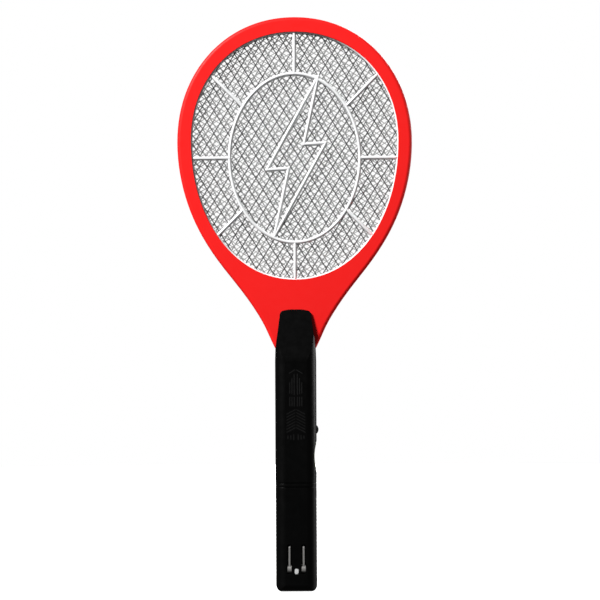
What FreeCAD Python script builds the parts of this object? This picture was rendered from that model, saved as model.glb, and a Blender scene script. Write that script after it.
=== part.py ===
"""Electric fly swatter: a red racket head with three wire grids on a black handle with a fold-out mains plug.

Millimetres. X runs across the head, Z runs along the racket with the head up, and the front faces -Y.
The origin is at the middle of the grip, level with the trigger, on the plane where the two halves meet.
"""

import FreeCAD
import Part
import math
import os

from FreeCAD import Vector

# Round outlines are slightly squarer than an ellipse: this power stands where an ellipse has 2.
egg_power = 2.08
egg_points = 24

# Head outline: half an oval above the widest level, a curved flank below it, then the neck.
head_widest_z = 283.5
head_half_width = 105.9
head_rise = 113.1
flank_points = [(102.0, 247.6), (90.1, 211.6), (68.5, 175.6), (46.0, 146.6), (27.6, 117.6)]
neck_top_z = 98.1
neck_bottom_z = 76.0
neck_shoulder_half = 18.6
neck_half = 14.5
head_half_depth = 8.0
head_wall = 1.8
head_edge_radius = 3.0
throat_lean = 0.49
throat_overrun = 20.0
tab_notch_half = 16.0
tab_notch_depth = 5.0
tab_notch_z = (150.0, 157.0)
wire_slot_half = 4.5

# Mesh opening: two half ovals that share their width.
opening_centre_z = 285.3
opening_half_width = 93.6
opening_rise = 98.1
opening_drop = 125.5
pocket_margin = 5.3
plate_margin = 4.9
pocket_wall = 1.5

# Layers of the grid stack, as distances from the middle plane.
inner_grid_half = 0.3
outer_grid_inside = 3.9
outer_grid_outside = 4.6
guard_flange_outside = 6.2
guard_rib_outside = 6.8

# Diamond mesh: pitch across, pitch along and strand width. The inner one is drawn with every second strand.
# A crossing is a place where two strands of a grid meet.
outer_mesh = (12.6, 20.4, 1.0)
inner_mesh = (14.14, 9.08, 0.8)
front_crossing = (2.8, 333.0)
rear_crossing = (7.8, 333.0)
inner_crossing = (0.0, 285.0)
mesh_edge_margin = 1.0
smallest_hole_area = 1.0
tab_half = 2.0
tab_x = 12.0
tab_bottom_z = 146.0
lug_barrel_radius = 1.5
lug_bore_radius = 0.95
lug_bore_depth = 3.5
lug_barrel_z = (139.0, 144.5)
lug_thickness = 0.5
lug_top_z = 149.0

# Rib guard: an elliptical ring, eight spokes and a lightning bolt drawn in outline.
guard_centre_z = 269.6
ring_half_width = 58.8
ring_half_height = 76.1
rib_width = 3.2
spoke_count = 8
bolt_centre = (1.5, 271.0)
bolt_half = [(20.0, 72.0), (-26.5, -12.0), (-7.0, -11.0)]

# Handle body.
handle_half_width = 18.6
handle_half_depth = 16.0
handle_corner = 9.0
handle_bottom_z = -121.0
handle_top_z = 98.0
butt_corner = 6.0
shell_wall = 2.2
root_inset = 1.0
shoulder_drop = 12.0
ramp_start_z = 88.0
ramp_radius = 30.0
tongue_top_z = 132.8
tongue_shoulder_half = 18.2
tongue_top_half = 13.6
tongue_arch = 1.5
tongue_corner = 4.0
tongue_crown_corner = 14.0
tongue_crown_share = 0.45
tongue_tip_depth = 9.8
tongue_gap = 0.05
past_handle = 20.0

# Grip details.
scallop_depth = 2.4
scallop_radius = 44.4
waist_groove_z = (-23.4, -27.0)
waist_groove_width = 1.2
waist_groove_depth = 0.8
grip_rib_top_z = -38.7
grip_rib_count = 21
grip_rib_pitch = 3.37
grip_rib_width = 1.5
grip_rib_depth = 0.45
grip_rib_reach = 10.0
seam_half = 0.2
seam_depth = 0.3

# Trigger and its switch.
trigger_window = (12.0, 4.5)
trigger_gap = 0.3
trigger_proud = 0.5
trigger_flange = (12.3, 13.8)
trigger_flange_half = (6.3, 14.0)
trigger_corner = 1.5
trigger_post_radius = 2.2
plunger_x = (4.0, 8.0)
plunger_half = 1.6
plunger_gap = 0.15
switch_x = (-1.0, 5.5)
switch_half_z = 4.0
switch_front_y = -3.0

# Slide switch.
knob_z = 24.3
knob_half = 3.8
knob_proud = 1.8
knob_travel = 3.5
knob_half_depth = 2.9
knob_plate = (14.7, 16.2)
knob_plate_half = 6.0
knob_plate_reach = (9.2, 8.2)
fork_start_x = 11.5
fork_half = 2.6
lever_x = (7.2, 14.2)
lever_half = 1.0
lever_gap = 0.15
lever_socket_gap = 0.05
slide_body_x = (1.0, 9.0)
slide_body_reach = (6.8, 10.3)

# Fold-out plug.
blade_x = 6.35
blade_width = 6.35
blade_thickness = 1.5
pivot_y = -12.2
pivot_z = -100.6
knuckle_radius = 3.8
knuckle_half = 1.8
blade_tip_z = -79.7
blade_corner = 2.0
blade_eye_z = -84.0
blade_eye_radius = 1.5
pin_radius = 1.0
pin_half = 11.5
pin_gap = 0.05
hub_radius = 1.9
hub_gap = 0.3
knuckle_slot_half = 2.1
knuckle_slot_reach = 4.3
blade_slot_half = 1.75
blade_slot_back = -8.0
contact_half = 1.5
contact_pad_y = (-8.0, -7.5)
contact_reach = 3.3
contact_leg = 0.5
lens_half = 1.7
lens_z = (-104.9, -100.3)
lens_corner = 1.2
pipe_half = 1.4
pipe_z = (-104.85, -103.15)
plug_block_half = 12.0
plug_block_back = -6.2
plug_block_z = (-109.0, -77.0)

# Battery.
battery_x = (-11.0, 11.0)
battery_y = (-7.5, 9.5)
battery_z = (-76.5, -37.0)
battery_gap = 0.3
battery_stop = 1.4
battery_stop_half = 3.5
battery_corner = 1.0
battery_tag_x = 6.0
battery_tag_half = 2.0
battery_tag_y = (3.8, 4.2)
battery_tag_length = 5.0
foam_half = 9.0
foam_back = 13.7
foam_z = (-72.0, -42.0)

# Boards.
board_x = (-14.0, 9.0)
board_y = (3.0, 4.6)
board_z = (-22.0, 72.0)
charger_y = (4.0, 5.2)
charger_x = (-11.0, 11.0)
charger_z = (-108.0, -79.0)

# What the boards carry. Rows are a first height, a pitch and a count.
transformer_centre = (-2.5, -4.2, 46.0)
core_half = (8.0, 2.5, 8.0)
core_window_x = (2.0, 5.5)
core_window_half_z = 5.0
spool_half = (2.8, 3.3, 4.9)
flange_half = 5.2
flange_thickness = 0.8
flange_front = 6.0
winding_half = (5.0, 5.4, 4.0)
winding_corner = 1.8
core_fit = 0.1
lead_radius = 0.4
foot_radius = 0.3
board_row_x = -7.5
row_half_span = 5.0
diode_row = (13.0, 4.0, 4)
diode_size = (2.6, 1.35)
diode_lift = 1.6
resistor_row = (-11.0, 3.5, 3)
resistor_size = (3.1, 1.2)
resistor_lift = 1.5
large_film_x = (-9.0, 7.0)
large_film_z = (57.0, 66.5)
large_film_front = -7.0
small_film_x = (-12.0, -3.0)
small_film_row = (29.5, 4.5, 2)
small_film_width = 3.5
small_film_front = -4.0
film_lift = 0.8
film_corner = 1.0
film_lead_inset = 1.5
transistor_x = -8.0
transistor_half = 4.0
transistor_y = (-8.0, 1.0)
transistor_z = (4.0, 7.2)
transistor_hole = (-5.8, 1.6)
transistor_pitch = 2.3
transistor_leg_half = (0.4, 0.25)
transistor_leg_z = 5.6
dropper_x = (-5.0, 5.0)
dropper_z = (-98.0, -86.0)
dropper_front = -4.8
rectifier_x = (6.9, 9.6)
rectifier_z = -92.0
rectifier_size = (2.6, 1.3)
rectifier_half_span = 4.4
lamp_z = -104.0
lamp_y = (-5.2, 0.2)
lamp_radius = 1.5
lamp_rim_radius = 1.75
lamp_rim = 1.0
lamp_lead = (1.0, 0.25)
wire_radius = 0.9

# Fasteners. A screw head is its radius and height, and the places are (x, z).
shank_radius = 1.3
pilot_gap = 0.05
clear_hole_radius = 1.5
front_post_radius = 3.4
rear_post_radius = 4.2
handle_screw_places = [(8.0, 86.0), (12.5, -27.0), (12.5, -113.5)]
handle_screw_head = (2.8, 2.0)
handle_screw_head_y = 11.5
handle_counterbore = 3.1
head_post_radius = 4.4
head_screw_place = (24.0, 140.0)
head_screw_head = (2.7, 1.9)
head_screw_head_y = 5.6
head_screw_length = 12.0
head_counterbore = 3.0
board_post_radius = 2.6
board_pilot_radius = 0.95
board_hole_radius = 1.0
board_screw_head = (1.9, 1.3)
board_shank_radius = 0.85
board_screw_length = 5.5
board_screw_places = [(-10.0, -17.0), (-10.5, 69.0)]
charger_screw_places = [(-4.0, -82.3), (4.0, -82.3)]

SIDES = (-1, 1)


def box(x, y, z):
    """Block between two corners, each argument a (low, high) pair."""
    size = [pair[1] - pair[0] for pair in (x, y, z)]
    return Part.makeBox(size[0], size[1], size[2], Vector(x[0], y[0], z[0]))


def around(middle, half):
    """The (low, high) pair that reaches half each way from middle."""
    return (middle - half, middle + half)


def rod(start, end, radius):
    """Cylinder between two points."""
    start = Vector(*start)
    run = Vector(*end) - start
    return Part.makeCylinder(radius, run.Length, start, run)


def front_to_back(x, z, radius, y):
    """Cylinder along Y over the (low, high) pair y."""
    return rod((x, y[0], z), (x, y[1], z), radius)


def prism(face, y):
    """Extrudes a face of the XZ plane over the (low, high) pair y."""
    moved = face.copy()
    moved.translate(Vector(0, y[0], 0))
    return moved.extrude(Vector(0, y[1] - y[0], 0))


def mirrored(shape):
    """The same shape on the other side of the middle plane."""
    return shape.mirror(Vector(0, 0, 0), Vector(0, 1, 0))


def both_sides(places):
    """Each (x, z) place and its mirror across the middle."""
    return [(side * x, z) for x, z in places for side in SIDES]


def joined(shapes):
    """One solid from shapes that overlap."""
    return shapes[0].multiFuse(shapes[1:]).removeSplitter()


def polygon(points):
    """Closed wire in the XZ plane through (x, z) points."""
    corners = [Vector(x, 0, z) for x, z in points]
    return Part.makePolygon(corners + corners[:1])


def rounded(points, radii):
    """Face in the XZ plane through (x, z) points, with each corner rounded to its radius."""
    corners = [Vector(x, 0, z) for x, z in points]
    edges = []
    last = None
    first = None
    for i, corner in enumerate(corners):
        back = (corners[i - 1] - corner).normalize()
        on = (corners[(i + 1) % len(corners)] - corner).normalize()
        turn = back.getAngle(on)
        reach = radii[i] / math.tan(turn / 2)
        entry = corner + back * reach
        leave = corner + on * reach
        if last is not None:
            edges.append(Part.makeLine(last, entry))
        if radii[i] > 0:
            middle = (back + on).normalize()
            top = corner + middle * (radii[i] / math.sin(turn / 2) - radii[i])
            edges.append(Part.Arc(entry, top, leave).toShape())
        first = first or entry
        last = leave
    edges.append(Part.makeLine(last, first))
    return Part.Face(Part.Wire(edges))


def half_oval(centre_z, half_width, rise):
    """Half an oval about the Z axis, above centre_z, or below it if rise is negative."""
    points = []
    for i in range(egg_points):
        angle = 2 * math.pi * i / egg_points
        across, up = (math.copysign(abs(v) ** (2 / egg_power), v) for v in (math.cos(angle), math.sin(angle)))
        points.append(Vector(across * half_width, 0, centre_z + up * rise))
    curve = Part.BSplineCurve()
    curve.interpolate(Points=points, PeriodicFlag=True)
    first = curve.FirstParameter
    return curve.toShape(first, (first + curve.LastParameter) / 2)


def ellipse(centre_z, half_width, half_height):
    """Upright elliptical face in the XZ plane."""
    centre = Vector(0, 0, centre_z)
    top = Vector(0, 0, centre_z + half_height)
    side = Vector(half_width, 0, centre_z)
    return Part.Face(Part.Wire([Part.Ellipse(top, side, centre).toShape()]))


def egg(grow):
    """Face of the mesh opening, grown all round."""
    width = opening_half_width + grow
    above = half_oval(opening_centre_z, width, opening_rise + grow)
    below = half_oval(opening_centre_z, width, -opening_drop - grow)
    return Part.Face(Part.Wire([above, below]))


def inside_egg(x, z, grow):
    """Whether a point lies inside the grown mesh opening."""
    rise = z - opening_centre_z
    height = (opening_rise if rise > 0 else opening_drop) + grow
    return abs(x / (opening_half_width + grow)) ** egg_power + abs(rise / height) ** egg_power < 1


def tube(points, radius):
    """Wire or cable along straight runs joined by tangent arcs."""
    points = [Vector(*p) for p in points]
    edges = []
    last = points[0]
    for before, corner, after in zip(points, points[1:], points[2:]):
        back = before - corner
        on = after - corner
        reach = 0.45 * min(back.Length, on.Length)
        back.normalize()
        on.normalize()
        turn = back.getAngle(on)
        bend = reach * math.tan(turn / 2)
        entry = corner + back * reach
        leave = corner + on * reach
        middle = (back + on).normalize()
        top = corner + middle * (bend / math.sin(turn / 2) - bend)
        edges.append(Part.makeLine(last, entry))
        edges.append(Part.Arc(entry, top, leave).toShape())
        last = leave
    edges.append(Part.makeLine(last, points[-1]))
    path = Part.Wire(edges)
    start = edges[0].tangentAt(edges[0].FirstParameter)
    profile = Part.Wire([Part.makeCircle(radius, points[0], start)])
    return path.makePipeShell([profile], True, False)


def save(name, shapes):
    """Writes one node, which may be a group of separate solids."""
    solids = [solid for shape in shapes for solid in shape.Solids]
    shape = solids[0] if len(solids) == 1 else Part.makeCompound(solids)
    print(f"{name:26} {len(solids):3} {shape.Volume:10.1f} {'valid' if shape.isValid() else 'INVALID'}")
    shape.exportStep(f"parts/{name}.step")


# Head frame


def flank_curve(side, points):
    """Smooth curve from the widest level down to the neck's top."""
    curve = Part.BSplineCurve()
    curve.interpolate(
        Points=[Vector(side * x, 0, z) for x, z in points],
        InitialTangent=Vector(0, 0, -1),
        FinalTangent=Vector(side * -throat_lean, 0, -1),
    )
    return curve


def head_flank(side, inset):
    """One flank of the head, moved in by inset."""
    points = [(head_half_width, head_widest_z)] + flank_points + [(neck_shoulder_half, neck_top_z)]
    outer = flank_curve(1, points)
    moved = []
    for x, z in points:
        way = outer.tangent(outer.parameter(Vector(x, 0, z)))[0]
        moved.append((x + way.z * inset, z - way.x * inset))
    return flank_curve(side, moved).toShape()


def throat_outline(inset=0.0):
    """Face of the head and throat seen from the front, run on past the neck's top."""
    crown = half_oval(head_widest_z, head_half_width - inset, head_rise - inset)
    flanks = [head_flank(side, inset) for side in SIDES]
    ends = [flank.Vertexes[-1].Point for flank in flanks]
    run_on = [end + Vector(-side * throat_lean, 0, -1) * throat_overrun for side, end in zip(SIDES, ends)]
    lines = [Part.makeLine(ends[0], run_on[0]), Part.makeLine(*run_on), Part.makeLine(run_on[1], ends[1])]
    return Part.Face(Part.Wire([crown, flanks[0]] + lines + [flanks[1]]))


def rounded_head(outline):
    """Front half of the solid head with its outer front edge rounded, cut off at the neck's top."""
    solid = prism(outline, (-head_half_depth, 0))
    rim = []
    for edge in solid.Edges:
        reach = edge.BoundBox
        if reach.YMax < -head_half_depth + 0.01 and reach.ZMax > neck_top_z - 1:
            rim.append(edge)
    rounded_solid = solid.makeFillet(head_edge_radius, rim)
    return rounded_solid.cut(box((-30, 30), (-10, 1), (0, neck_top_z)))


def head_half():
    """Front head frame: a hollow tray with a pocket for the grid stack and a neck below."""
    inside = (-head_half_depth + head_wall, 1.0)
    through = (-head_half_depth - 1.0, 1.0)
    neck_inside = (-neck_half + head_wall, neck_half - head_wall)
    low = box((-30, 30), (-10, 2), (0, neck_top_z + head_wall))
    hollow = prism(throat_outline(head_wall), inside)
    hollow = hollow.cut(prism(egg(pocket_margin + pocket_wall), inside)).cut(low)
    neck = box((-neck_half, neck_half), (-head_half_depth, 0), (neck_bottom_z, neck_top_z + 1))
    frame = joined([rounded_head(throat_outline()), neck])
    cuts = [
        prism(egg(0), through),
        prism(egg(pocket_margin), inside),
        hollow,
        box(neck_inside, inside, (neck_bottom_z + head_wall, neck_top_z + head_wall + 1)),
    ]
    for cut in cuts:
        frame = frame.cut(cut)
    depth = (-head_half_depth + head_wall - 0.5, 0)
    neck_screws = both_sides(handle_screw_places[:1])
    bosses = [front_to_back(x, z, head_post_radius, depth) for x, z in both_sides([head_screw_place])]
    bosses += [front_to_back(x, z, front_post_radius, depth) for x, z in neck_screws]
    frame = joined([frame] + bosses)
    tab_notch = box(around(0, tab_notch_half), (-tab_notch_depth, 1.0), tab_notch_z)
    wire_slot = box(around(0, wire_slot_half), inside, (neck_bottom_z - 1, neck_bottom_z + 3))
    holes = [front_to_back(x, z, clear_hole_radius, through) for x, z in neck_screws]
    return frame.cut(Part.makeCompound([tab_notch, wire_slot] + holes))


def make_head():
    """Both head frames and the screws that close the throat."""
    half = head_half()
    x, z = head_screw_place
    seat = head_screw_head_y
    pilot_y = (seat - head_screw_length - 0.1, 1)
    pilots = [front_to_back(side * x, z, shank_radius + pilot_gap, pilot_y) for side in SIDES]
    save("front_head_frame", [half.cut(Part.makeCompound(pilots))])
    past = head_half_depth + 1
    holes = [front_to_back(side * x, z, clear_hole_radius, (-1, past)) for side in SIDES]
    holes += [front_to_back(side * x, z, head_counterbore, (seat, past)) for side in SIDES]
    save("rear_head_frame", [mirrored(half).cut(Part.makeCompound(holes))])
    screws = [screw(side * x, z, seat, head_screw_head, shank_radius, head_screw_length) for side in SIDES]
    save("head_screws", screws)


def screw(x, z, seat_y, head_size, radius, length):
    """Screw driven towards the front, with a crossed recess in its head."""
    head_radius, head_height = head_size
    head = front_to_back(x, z, head_radius, (seat_y, seat_y + head_height))
    shank = front_to_back(x, z, radius, (seat_y - length, seat_y + 0.1))
    recess = (seat_y + head_height * 0.4, seat_y + head_height + 1)
    arm = head_radius * 0.6
    across = box(around(x, arm), recess, around(z, 0.35))
    along = box(around(x, 0.35), recess, around(z, arm))
    return head.fuse(shank).cut(across.fuse(along))


# Grid stack


def diamond(x, z, half_x, half_z):
    """Corner points of one mesh hole."""
    return [(x + half_x, z), (x, z + half_z), (x - half_x, z), (x, z - half_z)]


def mesh_holes(mesh, origin_x, origin_z):
    """Wires of the diamond holes, cut to the edge band."""
    pitch_x, pitch_z, strand = mesh
    half_x = pitch_x / 2
    half_z = pitch_z / 2
    reach = half_x * half_z / math.hypot(half_x, half_z)
    shrink = (reach - strand / 2) / reach
    region = egg(mesh_edge_margin)
    columns = int(2 * opening_half_width / pitch_x) + 4
    rows = int(2 * opening_drop / pitch_z) + 4
    whole = []
    for column in range(-columns, columns):
        for row in range(-rows, rows):
            x = origin_x + column * half_x
            z = origin_z + row * half_z
            if (column + row) % 2 == 0:
                continue
            points = diamond(x, z, half_x * shrink, half_z * shrink)
            inside = [inside_egg(px, pz, mesh_edge_margin) for px, pz in points]
            if all(inside):
                whole.append(polygon(points))
            elif any(inside):
                cut = Part.Face(polygon(points)).common(region)
                whole += [f.OuterWire for f in cut.Faces if f.Area > smallest_hole_area]
    return whole


def grid_plate(mesh, origin, tab_at, y):
    """One grid with its solder tab, over the (low, high) pair y."""
    depth = (0, y[1] - y[0])
    tab = box(around(tab_at, tab_half), depth, (tab_bottom_z, tab_bottom_z + 20))
    blank = joined([prism(egg(plate_margin), depth), tab])
    front = [face for face in blank.Faces if face.BoundBox.YMax < 0.01][0]
    edge = front.OuterWire.reversed()
    return prism(Part.Face([edge] + mesh_holes(mesh, origin[0], origin[1])), y)


def ring_between(outer, inner, y):
    """Flat egg-shaped ring."""
    return prism(egg(outer).cut(egg(inner)), y)


def rib(start, end, y):
    """Straight rib with round ends between two (x, z) points."""
    run = Vector(end[0] - start[0], 0, end[1] - start[1])
    side = Vector(-run.z, 0, run.x).normalize() * (rib_width / 2)
    a = Vector(start[0], 0, start[1])
    b = Vector(end[0], 0, end[1])
    outline = Part.makePolygon([a + side, b + side, b - side, a - side, a + side])
    ends = [front_to_back(p[0], p[1], rib_width / 2, y) for p in (start, end)]
    return [prism(Part.Face(outline), y)] + ends


def rib_guard():
    """Front guard: flange, ring, spokes and bolt, in one moulding."""
    y = (-guard_rib_outside, -outer_grid_outside)
    half = rib_width / 2
    ring = prism(
        ellipse(guard_centre_z, ring_half_width + half, ring_half_height + half).cut(
            ellipse(guard_centre_z, ring_half_width - half, ring_half_height - half)
        ),
        y,
    )
    ribs = [ring]
    for turn in range(spoke_count):
        angle = 2 * math.pi * turn / spoke_count
        way = (math.cos(angle), math.sin(angle))
        near = 1 / math.hypot(way[0] / ring_half_width, way[1] / ring_half_height)
        far = near
        while inside_egg(far * way[0], guard_centre_z + far * way[1], 1.0):
            far += 0.5
        ribs += rib(
            (near * way[0], guard_centre_z + near * way[1]),
            (far * way[0], guard_centre_z + far * way[1]),
            y,
        )
    corners = bolt_half + [(-x, -z) for x, z in bolt_half]
    bolt = [(x + bolt_centre[0], z + bolt_centre[1]) for x, z in corners]
    for start, end in zip(bolt, bolt[1:] + bolt[:1]):
        ribs += rib(start, end, y)
    inside = prism(egg(-0.3), (-guard_rib_outside - 1, -outer_grid_outside))
    flange = ring_between(plate_margin, -1.2, (-guard_flange_outside, -outer_grid_outside))
    return joined([joined(ribs).common(inside), flange])


def terminal(x, face_y, side):
    """Solder lug on a grid tab: a flat tongue and a barrel for the wire, on one side of face_y."""
    low, high = lug_barrel_z
    barrel_y = face_y + side * lug_barrel_radius
    barrel = rod((x, barrel_y, low), (x, barrel_y, high), lug_barrel_radius)
    bore = rod((x, barrel_y, low - 1), (x, barrel_y, low + lug_bore_depth), lug_bore_radius)
    sheet = sorted((face_y, face_y + side * lug_thickness))
    tongue = box(around(x, tab_half - 0.2), sheet, (high - 1, lug_top_z))
    return joined([tongue, barrel]).cut(bore)


def make_grids():
    """The grids, their spacers, the rib guards and the solder lugs."""
    outer_y = (-outer_grid_outside, -outer_grid_inside)
    save("front_outer_grid", [grid_plate(outer_mesh, front_crossing, -tab_x, outer_y)])
    rear_y = (outer_grid_inside, outer_grid_outside)
    save("rear_outer_grid", [grid_plate(outer_mesh, rear_crossing, tab_x, rear_y)])
    save("inner_grid", [grid_plate(inner_mesh, inner_crossing, 0.0, around(0, inner_grid_half))])
    spacer = ring_between(plate_margin, 0.8, (-outer_grid_inside, -inner_grid_half))
    save("front_spacer_ring", [spacer])
    save("rear_spacer_ring", [mirrored(spacer)])
    guard = rib_guard()
    save("front_rib_guard", [guard])
    save("rear_rib_guard", [mirrored(guard)])
    lugs = [
        terminal(-tab_x, -outer_grid_inside, 1),
        terminal(0.0, inner_grid_half, 1),
        terminal(tab_x, outer_grid_inside, -1),
    ]
    save("grid_terminals", lugs)


# Handle


def handle_body(inset):
    """Solid handle, shrunk by inset all round."""
    half_x = handle_half_width - inset
    half_y = handle_half_depth - inset
    bottom = handle_bottom_z + inset
    top = tongue_top_z - inset
    corner = handle_corner - inset
    butt = butt_corner - inset
    square = [(half_x, half_y), (-half_x, half_y), (-half_x, -half_y), (half_x, -half_y)]
    section = rounded(square, [corner] * 4)
    section.rotate(Vector(0, 0, 0), Vector(1, 0, 0), 90)
    section.translate(Vector(0, 0, bottom))
    column = section.extrude(Vector(0, 0, top - bottom + 1))
    shoulder = tongue_shoulder_half - inset
    tip = tongue_top_half - inset
    crown = tip * tongue_crown_share
    corner_at_tip = tongue_corner - inset
    plan = rounded(
        [
            (half_x, bottom),
            (half_x, handle_top_z - shoulder_drop),
            (shoulder, handle_top_z),
            (tip, top - tongue_arch),
            (crown, top),
            (-crown, top),
            (-tip, top - tongue_arch),
            (-shoulder, handle_top_z),
            (-half_x, handle_top_z - shoulder_drop),
            (-half_x, bottom),
        ],
        [butt, 0, 0, corner_at_tip, tongue_crown_corner, tongue_crown_corner, corner_at_tip, 0, 0, butt],
    )
    tip_depth = tongue_tip_depth - inset
    side = rounded(
        [
            (half_y, bottom),
            (half_y, ramp_start_z),
            (tip_depth, top),
            (-tip_depth, top),
            (-half_y, ramp_start_z),
            (-half_y, bottom),
        ],
        [butt, ramp_radius, 0, 0, ramp_radius, butt],
    )
    side.rotate(Vector(0, 0, 0), Vector(0, 0, 1), 90)
    side.translate(Vector(-25, 0, 0))
    body = column.common(prism(plan, around(0, past_handle))).common(side.extrude(Vector(50, 0, 0)))
    centre_x = handle_half_width - scallop_depth + scallop_radius
    return body.cut(front_to_back(centre_x, 0, scallop_radius + inset, around(0, past_handle)))


def skin(region, inset):
    """The part of a region that lies less than inset under the handle's surface."""
    return region.cut(handle_body(inset))


def skin_cuts():
    """Grip ribs, waist grooves and the parting line."""
    slots = []
    for i in range(grip_rib_count):
        z = grip_rib_top_z - i * grip_rib_pitch
        for side in SIDES:
            x = sorted((side * 15.0, side * past_handle))
            slots.append(box(x, around(0, grip_rib_reach), around(z, grip_rib_width / 2)))
    ribs = skin(Part.makeCompound(slots), grip_rib_depth)
    across = around(0, past_handle)
    bands = [box(across, across, around(z, waist_groove_width / 2)) for z in waist_groove_z]
    waist = skin(Part.makeCompound(bands), waist_groove_depth)
    line = box(across, around(0, seam_half), (handle_bottom_z - 1, handle_top_z + 1))
    seam = skin(line, seam_depth)
    return [ribs, waist, seam]


def boss(x, z, radius, reach, skin_y):
    """Screw boss from the inner face of a shell to reach."""
    column = front_to_back(x, z, radius, sorted((reach, skin_y)))
    return column.common(handle_body(root_inset))


def boss_reach(z):
    """How near to the middle plane a boss comes: the neck lies between the upper two."""
    return head_half_depth + tongue_gap if z > 0 else 0.05


def pivot_rod(half, radius):
    """Cylinder on the plug's pivot line, reaching half each way."""
    return rod((-half, pivot_y, pivot_z), (half, pivot_y, pivot_z), radius)


def plug_slots():
    """Slots in the front for the folded blades, their knuckles, the hub and the pin."""
    cuts = [pivot_rod(pin_half + 1, pin_radius + pin_gap), pivot_rod(5.0, hub_radius + hub_gap)]
    for side in SIDES:
        x = side * blade_x
        deep = (-past_handle, plug_block_back - 1.2)
        cuts.append(box(around(x, knuckle_slot_half), deep, around(pivot_z, knuckle_slot_reach)))
        blade_y = (-past_handle, blade_slot_back)
        cuts.append(box(around(x, blade_slot_half), blade_y, (pivot_z, blade_tip_z + 1.2)))
        leg_z = (pivot_z - contact_reach - 0.2, pivot_z - contact_reach + contact_leg + 0.2)
        cuts.append(box(around(x, contact_half + 0.2), (-9.0, -5.0), leg_z))
    cuts.append(box(around(0, lens_half + 0.1), (-past_handle, -14.75), (lens_z[0] - 0.1, lens_z[1] + 0.1)))
    cuts.append(box(around(0, pipe_half + 0.2), (-past_handle, -5), (pipe_z[0] - 0.15, pipe_z[1] + 0.15)))
    return cuts


def battery_stops(y):
    """Ribs above and below the battery."""
    below = (battery_z[0] - battery_gap - battery_stop, battery_z[0] - battery_gap)
    above = (battery_z[1] + battery_gap, battery_z[1] + battery_gap + battery_stop)
    x = around(0, battery_stop_half)
    return [box(x, y, z).common(handle_body(root_inset)) for z in (below, above)]


def make_shells():
    """Front and rear handle shells and the screws that hold them together."""
    shell = handle_body(0).cut(handle_body(shell_wall))
    across = around(0, past_handle)
    all_z = (handle_bottom_z - 4, tongue_top_z + 8)
    head_slot = box(across, around(0, head_half_depth + tongue_gap), (handle_top_z, all_z[1]))
    window_z, window_y = trigger_window
    trigger_hole = box((10, past_handle), around(0, window_y), around(0, window_z))
    knob_low = knob_z - knob_half - trigger_gap
    knob_high = knob_z + knob_half + knob_travel + trigger_gap
    knob_hole = box((10, past_handle), around(0, knob_half_depth + trigger_gap), (knob_low, knob_high))
    shell = shell.cut(Part.makeCompound([head_slot, trigger_hole, knob_hole] + skin_cuts()))
    front_region = box(across, (-past_handle, 0), all_z)
    rear_region = box(across, (0, past_handle), all_z)
    skin_y = handle_half_depth - root_inset / 2
    stop_y = (2.0, handle_half_depth - root_inset)
    places = both_sides(handle_screw_places)

    front_adds = [boss(x, z, front_post_radius, -boss_reach(z), -skin_y) for x, z in places]
    plug_block = box(around(0, plug_block_half), (-stop_y[1], plug_block_back), plug_block_z)
    front_adds.append(plug_block.common(handle_body(root_inset)))
    front_adds += battery_stops((-stop_y[1], -stop_y[0]))
    front = joined([shell.common(front_region)] + front_adds)
    pilot_y = (-handle_screw_head_y - 0.5, 1)
    pilots = [front_to_back(x, z, shank_radius + pilot_gap, pilot_y) for x, z in places]
    save("front_handle_shell", [front.cut(Part.makeCompound(pilots + plug_slots()))])

    rear_adds = [boss(x, z, rear_post_radius, boss_reach(z), skin_y) for x, z in places]
    rear_adds += [boss(x, z, board_post_radius, board_y[1], skin_y) for x, z in board_screw_places]
    rear_adds += [boss(x, z, board_post_radius, charger_y[1], skin_y) for x, z in charger_screw_places]
    rear_adds += battery_stops(stop_y)
    rear = joined([shell.common(rear_region)] + rear_adds)
    holes = []
    for x, z in places:
        holes.append(front_to_back(x, z, clear_hole_radius, (-1, past_handle)))
        holes.append(front_to_back(x, z, handle_counterbore, (handle_screw_head_y, past_handle)))
    for x, z in board_screw_places + charger_screw_places:
        holes.append(front_to_back(x, z, board_pilot_radius, (4, 12)))
    save("rear_handle_shell", [rear.cut(Part.makeCompound(holes))])
    length = 2 * handle_screw_head_y
    screws = [screw(x, z, handle_screw_head_y, handle_screw_head, shank_radius, length) for x, z in places]
    save("handle_screws", screws)


# Controls


def make_trigger():
    """Push button in the scallop and the momentary switch behind it."""
    window_z, window_y = trigger_window
    half_z = window_z - trigger_gap
    half_y = window_y - trigger_gap
    stem = box((trigger_flange[0], past_handle), around(0, half_y), around(0, half_z))
    face_x = handle_half_width - scallop_depth + scallop_radius + trigger_proud
    stem = stem.cut(front_to_back(face_x, 0, scallop_radius, around(0, past_handle)))
    upright = [e for e in stem.Edges if abs(e.tangentAt(e.FirstParameter).x) > 0.9 and e.Length > 1]
    stem = stem.makeFillet(trigger_corner, upright)
    flange = box(trigger_flange, around(0, trigger_flange_half[0]), around(0, trigger_flange_half[1]))
    post = rod((plunger_x[1] + 0.05, 0, 0), (trigger_flange[0] + 0.5, 0, 0), trigger_post_radius)
    save("trigger_button", [joined([stem, flange, post])])
    body = box(switch_x, (switch_front_y, board_y[0]), around(0, switch_half_z))
    bore = around(0, plunger_half + plunger_gap)
    pocket = box((plunger_x[0] - 2.1, switch_x[1] + 1), bore, bore)
    save("trigger_switch_body", [body.cut(pocket)])
    save("trigger_switch_plunger", [box(plunger_x, around(0, plunger_half), around(0, plunger_half))])


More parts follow.
